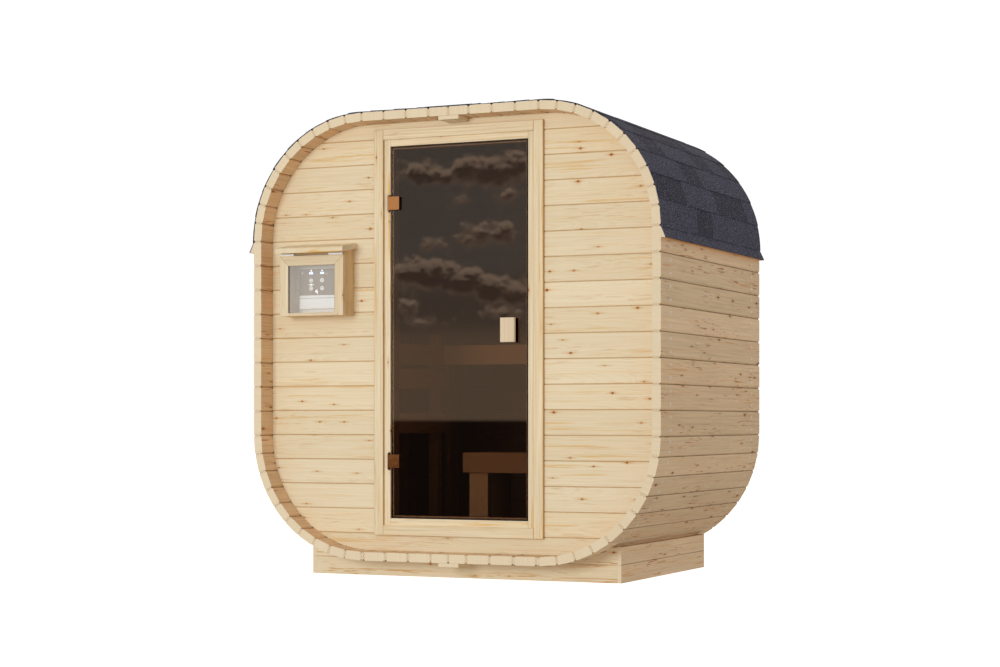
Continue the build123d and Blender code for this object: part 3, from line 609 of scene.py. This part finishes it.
def makeSeal():
    mesh = bmesh.new()
    near, far = glassHigh.y + seal["clear"], wallFront + seal["stop"] - seal["above"]
    wide, ease, foot = seal["width"], seal["round"], seal["foot"]
    section = [(foot, far), (foot, near + ease), (ease, near),
               (wide - ease, near), (wide, near + ease), (wide, far)]
    loops = []
    for inset, y in section:
        grow = seal["reveal"] - inset
        x0, x1, z0, z1 = glassLow.x - grow, glassHigh.x + grow, glassLow.z - grow, glassHigh.z + grow
        loops.append([mesh.verts.new((x, y, z)) for x, z in ((x0, z0), (x1, z0), (x1, z1), (x0, z1))])
    for one, two in zip(loops, loops[1:] + loops[:1]):
        for i in range(4):
            mesh.faces.new((one[i], one[(i + 1) % 4], two[(i + 1) % 4], two[i]))
    piece = newPiece("doorSeal", mesh, plasticMaterial("sealRubber", tone("0F0D0C"), 0.65))


makeSeal()
print("door seal done")

# roof shingles
# s runs up the roof from the eave corner; below it, on the wedge board, s is negative

roof = {"firstEdge": 0.130, "course": 0.125, "tab": 0.233, "firstTab": 0.034, "narrowest": 0.012,
        "leftOver": 0.001, "gap": 0.0004, "slant": 0.010, "segment": 0.024, "skin": 0.0002,
        "under": 0.2, "head": 0.5, "lap": 0.94,
        "darkShare": 0.34, "darkDrop": 0.16, "darkTabs": {0: (3,), 1: (0, 1, 4, 5), 2: (3,)},
        "capHalf": 0.125, "cap": 0.1425, "capOver": 0.02, "capFront": 0.1, "light": tone("474B60"),
        "dark": tone("33374A"), "fleck": tone("A6AABC"), "pit": tone("171922")}
eaveLow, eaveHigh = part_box("eave_board_right")
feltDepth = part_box("roof_felt_top")[1].z - shellTop
flare = Vector((eaveHigh.x - eaveLow.x, eaveLow.z - eaveHigh.z))
straight = shell["highCornerZ"] - eaveHigh.z  # the upright part above the eave
bend = eaveLow.x - shell["cornerX"]
ridge = straight + bend * math.pi / 2 + shell["cornerX"]


def roofPoint(s, lift):  # x and z of a point on the right half, lifted off the wood
    if s < 0:
        share, steep = -s / flare.length, flare.normalized()
        foot, out = Vector((eaveLow.x, eaveHigh.z)) + flare * share, Vector((-steep.y, steep.x))
    elif s <= straight:
        foot, out = Vector((eaveLow.x, eaveHigh.z + s)), Vector((1, 0))
    else:
        turn = min((s - straight) / bend, math.pi / 2)
        out = Vector((math.cos(turn), math.sin(turn)))
        past = max(s - straight - bend * math.pi / 2, 0)
        foot = Vector((shell["cornerX"] - past, shell["highCornerZ"])) + out * bend
    return foot + out * lift


def roofSlab(mesh, side, ends, corners, lifts, dark):  # a closed slab that follows the roof
    (s0, s1), (front0, back0, front1, back1), (low0, low1, high0, high1) = ends, corners, lifts
    marks = sorted({s0, s1, *(m for m in (0.0, straight) if s0 < m < s1)})
    steps = []
    for a, b in zip(marks, marks[1:]):
        count = max(1, math.ceil((b - a) / roof["segment"]))
        steps += [a + (b - a) * i / count for i in range(count)]
    rings = []
    for s in steps + [s1]:
        t = (s - s0) / (s1 - s0)
        front, back = front0 + (front1 - front0) * t, back0 + (back1 - back0) * t
        low, high = low0 + (low1 - low0) * t, high0 + (high1 - high0) * t
        spots = [(front, low), (back, low), (back, high), (front, high)]
        if side < 0:
            spots.reverse()
        rings.append([mesh.verts.new((side * roofPoint(s, h).x, y, roofPoint(s, h).y)) for y, h in spots])
    faces = [mesh.faces.new(rings[0][::-1]), mesh.faces.new(rings[-1])]
    for one, two in zip(rings, rings[1:]):
        faces += [mesh.faces.new((one[i], one[(i + 1) % 4], two[(i + 1) % 4], two[i])) for i in range(4)]
    layer = mesh.faces.layers.float["tabTone"]
    for face in faces:
        face[layer] = dark


def shingleCourse(mesh, side, index, s0, s1, dice):
    pitch, edge = roof["tab"], roof["firstTab"] - (index % 2) * roof["tab"] / 2 - roof["tab"]
    under, gap = roof["under"] * feltDepth, roof["gap"] / 2
    lean0, place, tabs = 0.0, shellFront + edge, 0
    while place < shellBack - roof["leftOver"]:
        lean1 = dice.uniform(-1, 1) * roof["slant"] if place + pitch < shellBack - roof["slant"] else 0.0
        listed = side > 0 and index in roof["darkTabs"]
        draw = dice.random()
        dark = tabs in roof["darkTabs"][index] if listed else draw < roof["darkShare"]
        front, back = max(place, shellFront), min(place + pitch, shellBack)
        if back - front > roof["narrowest"]:
            leanFront = lean0 if front > shellFront else 0.0
            leanBack = lean1 if back < shellBack else 0.0
            drop = roof["darkDrop"] * dark
            corners = (front + gap, back - gap, front + leanFront + gap, back + leanBack - gap)
            lifts = (under, under, (roof["lap"] - drop) * feltDepth, (roof["head"] - drop) * feltDepth)
            roofSlab(mesh, side, (s0, s1), corners, lifts, float(dark))
            tabs += 1
        lean0, place = lean1, place + pitch


def ridgeCaps(mesh, dice):  # the row of shingles that covers the ridge
    count = math.ceil((shellBack - shellFront) / roof["cap"])
    length = (shellBack - shellFront) / count
    base, lap, half = roof["head"] * feltDepth, roof["lap"] * feltDepth, roof["capHalf"]
    for i in range(count):
        y0, y1 = shellFront + i * length, shellFront + (i + 1) * length - roof["gap"]
        dark = dice.random() < roof["darkShare"]
        spots = [(y0, base), (y1, base), (y1, base + roof["capFront"] * feltDepth), (y0, lap)]
        left, right = ([mesh.verts.new((x, y, shellTop + h)) for y, h in spots] for x in (-half, half))
        faces = [mesh.faces.new(left), mesh.faces.new(right[::-1])]
        for j in range(4):
            after = (j + 1) % 4
            faces.append(mesh.faces.new((left[j], right[j], right[after], left[after])))
        for face in faces:
            face[mesh.faces.layers.float["tabTone"]] = float(dark)


def makeShingles():
    mesh = bmesh.new()
    mesh.faces.layers.float.new("tabTone")
    dice = random.Random(11)
    under, lap, head = (roof[part] * feltDepth for part in ("under", "lap", "head"))
    whole = (shellFront, shellBack) * 2
    for side in (1, -1):
        skin = (roof["skin"], roof["skin"], under, under)
        roofSlab(mesh, side, (-flare.length, ridge - roof["skin"]), whole, skin, 1.0)
        roofSlab(mesh, side, (-flare.length, -roof["gap"]), whole, (under, under, lap, head), 0.0)
        edges, s = [0.0, roof["firstEdge"]], roof["firstEdge"] + roof["course"]
        while s < ridge - roof["capHalf"]:
            edges.append(s)
            s += roof["course"]
        edges.append(ridge - roof["capHalf"] + roof["capOver"])
        for index, (s0, s1) in enumerate(zip(edges, edges[1:])):
            shingleCourse(mesh, side, index, s0, s1, dice)
    ridgeCaps(mesh, dice)
    material, s = newMaterial("shingleFelt")
    spot = s.node("TexCoord", None, None, "Object")
    shade = s.node("Attribute", {"attribute_name": "tabTone"}, None, "Fac")
    grit = s.noise(spot, 135.0, 4.0, 0.8)
    fine = s.noise(spot, 520.0, 2.0)
    cloud = s.noise(spot, 5.0, 3.0)
    fleck = s.step(0.52, 0.66, grit)
    pit = 1 - s.step(0.36, 0.48, grit)
    colour = s.blend(shade, roof["light"], roof["dark"])
    colour = s.blend((cloud - 0.35) * 0.35, colour, roof["dark"])
    colour = s.blend(fleck * 0.62, colour, roof["fleck"])
    colour = s.blend(pit * 0.90, colour, roof["pit"])
    s.finish(Base_Color=colour, Roughness=0.88 + fine * 0.08, Normal=s.bump(grit + fine * 0.5, 0.0010, 0.8),
             Specular_IOR_Level=0.25)
    shingles = newPiece("roofShingles", mesh, material)
    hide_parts("roof_felt_left", "roof_felt_top", "roof_felt_right")


makeShingles()
print("shingles done")

# screws through the staves into the end walls

screw = {"proud": 0.0007, "socket": 0.0031, "sides": 12, "lobes": 0.16, "marks": (0.24, 0.75),
         "inset": 0.021, "sideJoints": 9, "lowJoints": 4,
         "turned": ((0.6, -1.2, 0), (0.85, -0.9, 1), (1.1, 0.75, 1), (1.9, 1.0, 0), (2.47, 0.25, 0),
                    (2.47, -0.6, 0))}  # radius in sockets, height in prouds, lobed or round


def addScrew(mesh, place, out):
    turn = out.to_track_quat("Z", "Y").to_matrix()
    rings = []
    for radius, height, lobe in screw["turned"]:
        ring = []
        for i in range(screw["sides"]):
            angle = math.tau * i / screw["sides"]
            reach = radius * (1 + screw["lobes"] * lobe * (-1) ** i) * screw["socket"]
            spot = Vector((math.cos(angle) * reach, math.sin(angle) * reach, height * screw["proud"]))
            ring.append(mesh.verts.new(place + turn @ spot))
        rings.append(ring)
    mesh.faces.new(rings[0])
    mesh.faces.new(rings[-1][::-1])
    for one, two in zip(rings, rings[1:]):
        for i in range(screw["sides"]):
            j = (i + 1) % screw["sides"]
            mesh.faces.new((one[i], one[j], two[j], two[i]))


def staveJoints():  # pairs of outer joints, as x and z, of the staves that no felt covers
    radius, middle, cover = shell["cornerRadius"], shell["cornerX"], shell["boardCover"]
    right = [Vector((shellHalf, shell["highCornerZ"] - cover * i)) for i in range(screw["sideJoints"])]
    for i in range(1, shell["cornerStaves"] + 1):
        x, z = radius * math.cos(-cornerStep * i), radius * math.sin(-cornerStep * i)
        right.append(Vector((middle + x, shell["lowCornerZ"] + z)))
    low = [Vector((middle - cover * i, shellLow)) for i in range(screw["lowJoints"])]
    low.append(Vector((0.0, shellLow)))
    return list(zip(right, right[1:])) + list(zip(low, low[1:]))


def makeScrews():
    mesh = bmesh.new()
    rows = (wallFront + screw["inset"], wallBack - screw["inset"])
    for side in (1, -1):
        for high, low in staveJoints():
            across = low - high
            out = Vector((-across.y, across.x)).normalized()
            for share in screw["marks"]:
                spot = low - across * share
                for y in rows:
                    addScrew(mesh, Vector((side * spot.x, y, spot.y)), Vector((side * out.x, 0, out.y)))
    heads = newPiece("staveScrews", mesh, steelMaterial)


makeScrews()
print("screws done")

# marks on the control unit

panel = {"columns": (-0.791, -0.729), "thick": 0.0004, "peak": (0.0055, 1.4945, 1.5045), "barAt": 1.485,
         "bar": (0.022, 0.0105), "ringsAt": (1.449, 1.410), "ring": (0.0094, 0.0076),
         "ringPlus": (0.0090, 0.0014, 0.0026, 0.0038), "plusAt": (-0.791, 1.428),
         "plus": (0.030, 0.0026, 0.0048, 0.0070), "arrowAt": (-0.759, 1.393),
         "arrow": ((-0.011, 0.001), (0.003, 0.013), (0.005, -0.013), (-0.001, -0.004)),
         "specksAt": ((-0.840, 1.487), (-0.704, 1.481)), "speck": (0.0022, 0.0010),
         "seamAt": 1.362, "seamTall": 0.002, "seamLess": 0.004}
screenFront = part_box("control_screen")[0].y
bodyLow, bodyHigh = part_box("control_body")


def flatShape(mesh, points, front, thick):  # an outline in x and z that stands on a front face
    face = [mesh.verts.new((x, front - thick, z)) for x, z in points]
    back = [mesh.verts.new((x, front, z)) for x, z in points]
    mesh.faces.new(face)
    mesh.faces.new(back[::-1])
    for i in range(len(points)):
        j = (i + 1) % len(points)
        mesh.faces.new((face[i], face[j], back[j], back[i]))


def flatBar(mesh, x, z, wide, tall, front, thick):
    x0, x1, z0, z1 = x - wide / 2, x + wide / 2, z - tall / 2, z + tall / 2
    flatShape(mesh, [(x0, z0), (x1, z0), (x1, z1), (x0, z1)], front, thick)


def flatPlus(mesh, x, z, wide, line, away, arm, front, thick):  # a level bar and an arm above and below
    flatBar(mesh, x, z, wide, line, front, thick)
    for side in (-1, 1):
        flatBar(mesh, x, z + side * away, line, arm, front, thick)


def flatRing(mesh, x, z, outer, inner, front, thick, sides=24):
    loops = []
    turns = [math.tau * i / sides for i in range(sides)]
    for radius in (outer, inner):
        for y in (front - thick, front):
            loops.append([mesh.verts.new((x + radius * math.cos(turn), y, z + radius * math.sin(turn)))
                          for turn in turns])
    for a, b in ((0, 1), (1, 3), (3, 2), (2, 0)):
        for i in range(sides):
            j = (i + 1) % sides
            mesh.faces.new((loops[a][i], loops[a][j], loops[b][j], loops[b][i]))


def litMaterial(name, colour, glow):
    material, s = newMaterial(name)
    cloud = s.noise(s.node("TexCoord", None, None, "Object"), 300.0, 2.0)
    made = s.blend(cloud * 0.2, colour, tuple(v * 0.8 for v in colour))
    s.finish(Base_Color=made, Emission_Color=made, Emission_Strength=glow, Roughness=0.4)
    return material


def makePanelMarks():
    front, thick = screenFront, panel["thick"]
    white, blue = bmesh.new(), bmesh.new()
    half, foot, top = panel["peak"]
    for x in panel["columns"]:
        flatShape(white, [(x - half, foot), (x + half, foot), (x, top)], front, thick)
        flatBar(blue, x, panel["barAt"], *panel["bar"], front, thick)
        for z in panel["ringsAt"]:
            flatRing(white, x, z, *panel["ring"], front, thick)
            flatPlus(white, x, z, *panel["ringPlus"], front, thick)
    flatPlus(white, *panel["plusAt"], *panel["plus"], front, thick)
    x, z = panel["arrowAt"]
    flatShape(white, [(x + right, z + up) for right, up in panel["arrow"]], front, thick)
    for x, z in panel["specksAt"]:
        flatRing(white, x, z, *panel["speck"], front, thick, 12)
    marks = newPiece("controlMarks", white, litMaterial("markWhite", tone("FFFFFF"), 0.8))
    bars = newPiece("controlBars", blue, litMaterial("markBlue", tone("BCCBFF"), 1.6))
    seam = bmesh.new()
    middle, wide = (bodyLow.x + bodyHigh.x) / 2, bodyHigh.x - bodyLow.x - panel["seamLess"]
    flatBar(seam, middle, panel["seamAt"], wide, panel["seamTall"], bodyLow.y, thick)
    line = newPiece("controlSeam", seam, plasticMaterial("seamGrey", tone("7C7C7E"), 0.5))


makePanelMarks()
print("panel done")

# stage, light and camera

def areaLight(name, place, target, size, power, colour):
    light = bpy.data.lights.new(name, "AREA")
    light.shape, light.size, light.size_y = "RECTANGLE", size[0], size[1]
    light.energy, light.color = power, colour
    lamp = bpy.data.objects.new(name, light)
    bpy.context.scene.collection.objects.link(lamp)
    lamp.location = place
    lamp.rotation_euler = (Vector(target) - Vector(place)).to_track_quat("-Z", "Y").to_euler()
    return lamp


stage = {"size": 60.0, "tone": tone("F7F6F4"), "patch": tone("F1F0EE"), "shade": tone("4A3828"),
         "glow": 0.8}
floorMesh = bpy.data.meshes.new("floor")
half = stage["size"] / 2
corners = [(-half, -half, 0), (half, -half, 0), (half, half, 0), (-half, half, 0)]
floorMesh.from_pydata(corners, [], [(0, 1, 2, 3)])
floor = bpy.data.objects.new("floor", floorMesh)
bpy.context.scene.collection.objects.link(floor)
material, s = newMaterial("floorPaint")
spot = s.node("TexCoord", None, None, "Object")
x, y, z = s.parts(spot)
# painted shade: the floor is dark and has no glow within the plinth
under = (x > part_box("plinth_left")[0].x) * (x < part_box("plinth_right")[1].x)
under = under * (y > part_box("plinth_front")[0].y) * (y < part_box("plinth_back")[1].y)
paint = s.blend(s.noise(spot, 0.8, 2.0) * 0.1, stage["tone"], stage["patch"])
s.finish(Base_Color=s.blend(under, paint, stage["shade"]), Roughness=0.8,
         Emission_Color=s.blend(under, (1, 1, 1), (0, 0, 0)), Emission_Strength=stage["glow"])
floorMesh.materials.append(material)
floor.visible_glossy = False
floor.visible_diffuse = False
floor.visible_transmission = False

scene = bpy.context.scene
scene.view_settings.view_transform = "Standard"
studio = {"over": (0.565, 0.530, 0.510), "under": (0.555, 0.475, 0.405), "seen": (1.05, 1.05, 1.05)}
# clouds that the door glass mirrors; each puff has left, up, wide, tall, weight
heap = {"puffs": ((-0.0148, 0.1200, 0.0090, 0.0062, 1.00), (-0.0030, 0.1178, 0.0070, 0.0040, 0.75),
                  (0.0095, 0.1208, 0.0080, 0.0066, 1.05), (0.0216, 0.1200, 0.0080, 0.0060, 1.05),
                  (0.0340, 0.1232, 0.0085, 0.0074, 1.05), (0.0294, 0.1081, 0.0080, 0.0056, 0.66),
                  (0.0061, 0.1057, 0.0060, 0.0050, 0.52), (0.0158, 0.0895, 0.0120, 0.0062, 0.86),
                  (0.0290, 0.0922, 0.0060, 0.0055, 0.66), (-0.0070, 0.0853, 0.0075, 0.0042, 0.56),
                  (-0.0197, 0.0712, 0.0100, 0.0068, 1.10), (-0.0061, 0.0716, 0.0085, 0.0068, 1.10),
                  (0.0075, 0.0683, 0.0095, 0.0066, 1.10), (0.0202, 0.0645, 0.0090, 0.0066, 1.05),
                  (0.0347, 0.0620, 0.0090, 0.0070, 1.00), (-0.0187, 0.0548, 0.0075, 0.0048, 0.75),
                  (-0.0104, 0.0475, 0.0140, 0.0032, 0.60), (0.0284, 0.0517, 0.0150, 0.0042, 0.60)),
        "middle": -2.690, "grain": 120.0, "ragged": 0.80, "swayWide": 0.006, "swayTall": 0.004,
        "lumps": ((150.0, 0.50), (330.0, 0.20)), "lumpMiddle": 0.42, "body": (0.22, 0.66),
        "dense": (0.50, 1.05), "denseRise": 0.0012, "crest": (0.02, 0.30), "crestRise": 0.0017,
        "thinShine": 0.42, "crestShine": 0.60, "cover": 0.9}
heavens = {"blue": (0.92, 0.80, 0.66), "dim": (0.80, 0.62, 0.46), "haze": (1.36, 0.96, 0.63),
           "lit": (2.7, 1.98, 1.42), "core": (0.62, 0.42, 0.30), "ground": (0.080, 0.052, 0.040),
           "dimBelow": (0.056, 0.080), "hazeBelow": (0.036, 0.052), "horizon": 0.0012}
world = bpy.data.worlds.new("studio")
scene.world = world
world.use_nodes = True
s = Sheet(world.node_tree)
seen = s.node("LightPath", None, None, "Is Camera Ray")
x, y, z = s.parts(s.node("TexCoord", None, None, "Generated"))
aside = heap["middle"] - s.calc("ARCTAN2", x, y)


def cloudMass(height):  # thickness of the clouds that the glass mirrors
    look = s.vector(aside, height)
    rough = s.noise(look, heap["grain"], 6.0, 0.62)
    total = (rough - 0.5) * heap["ragged"]
    sway = s.vector(aside + (rough - 0.5) * heap["swayWide"], height + (rough - 0.5) * heap["swayTall"])
    for scale, share in heap["lumps"]:
        lump = s.node("TexVoronoi", {"voronoi_dimensions": "2D", "feature": "SMOOTH_F1"},
                      {"Vector": sway, "Scale": scale, "Smoothness": 0.35}, "Distance")
        total = total + (heap["lumpMiddle"] - lump) * share
    for left, up, wide, tall, weight in heap["puffs"]:
        far = s.node("VectorMath", {"operation": "SUBTRACT"}, {0: look, 1: (left, up, 0)})
        far = s.node("VectorMath", {"operation": "DIVIDE"}, {0: far, 1: (wide, tall, 1)})
        far = s.node("VectorMath", {"operation": "DOT_PRODUCT"}, {0: far, 1: far}, "Value")
        total = total + s.calc("EXPONENT", -far) * weight
    return total


mass = cloudMass(z)
body = s.step(*heap["body"], mass)
dense = s.step(*heap["dense"], cloudMass(z + heap["denseRise"]))
crest = s.step(*heap["crest"], mass - cloudMass(z + heap["crestRise"]))
sky = s.blend(s.step(*heavens["dimBelow"], z), heavens["dim"], heavens["blue"])
sky = s.blend(1 - s.step(*heavens["hazeBelow"], z), sky, heavens["haze"])
shine = (heap["thinShine"] * (1 - dense) + heap["crestShine"] * crest).calc("MINIMUM", 1.0)
sky = s.blend(body * heap["cover"], sky, s.blend(shine, heavens["core"], heavens["lit"]))
sky = s.blend(s.step(-heavens["horizon"], heavens["horizon"], z), heavens["ground"], sky)
around = s.blend(s.step(-0.2, 0.2, z), studio["under"], studio["over"])
soft = s.node("Background", None, {"Color": s.blend(seen, around, studio["seen"]), "Strength": 1.0})
mirrored = s.node("Background", None, {"Color": sky, "Strength": 1.0})
inGlass = (seen.other("Glossy Depth") > 0.5) * (1 - seen.other("Is Diffuse Ray"))
light = s.node("MixShader", None, {0: inGlass, 1: soft, 2: mirrored})
s.node("OutputWorld", None, {"Surface": light})

key = {"place": (-1.6, -9.3, 1.9), "target": (0, -0.4, 1.1), "size": (2.8, 2.8), "power": 342,
       "colour": (0.86, 0.96, 1.0)}
areaLight("keyLight", **key).visible_glossy = False

view = {"lens": 2057.07 * 36 / 1000, "sensor": 36.0, "place": (4.2547, -9.5155, 0.758), "yaw": 24.395,
        "shift": 0.08697}
camera = bpy.data.objects.new("camera", bpy.data.cameras.new("camera"))
scene.collection.objects.link(camera)
camera.data.lens, camera.data.sensor_width = view["lens"], view["sensor"]
camera.data.shift_y = view["shift"]
camera.location = view["place"]
camera.rotation_euler = (math.pi / 2, 0, math.radians(view["yaw"]))
scene.camera = camera
print("stage, light and camera done")
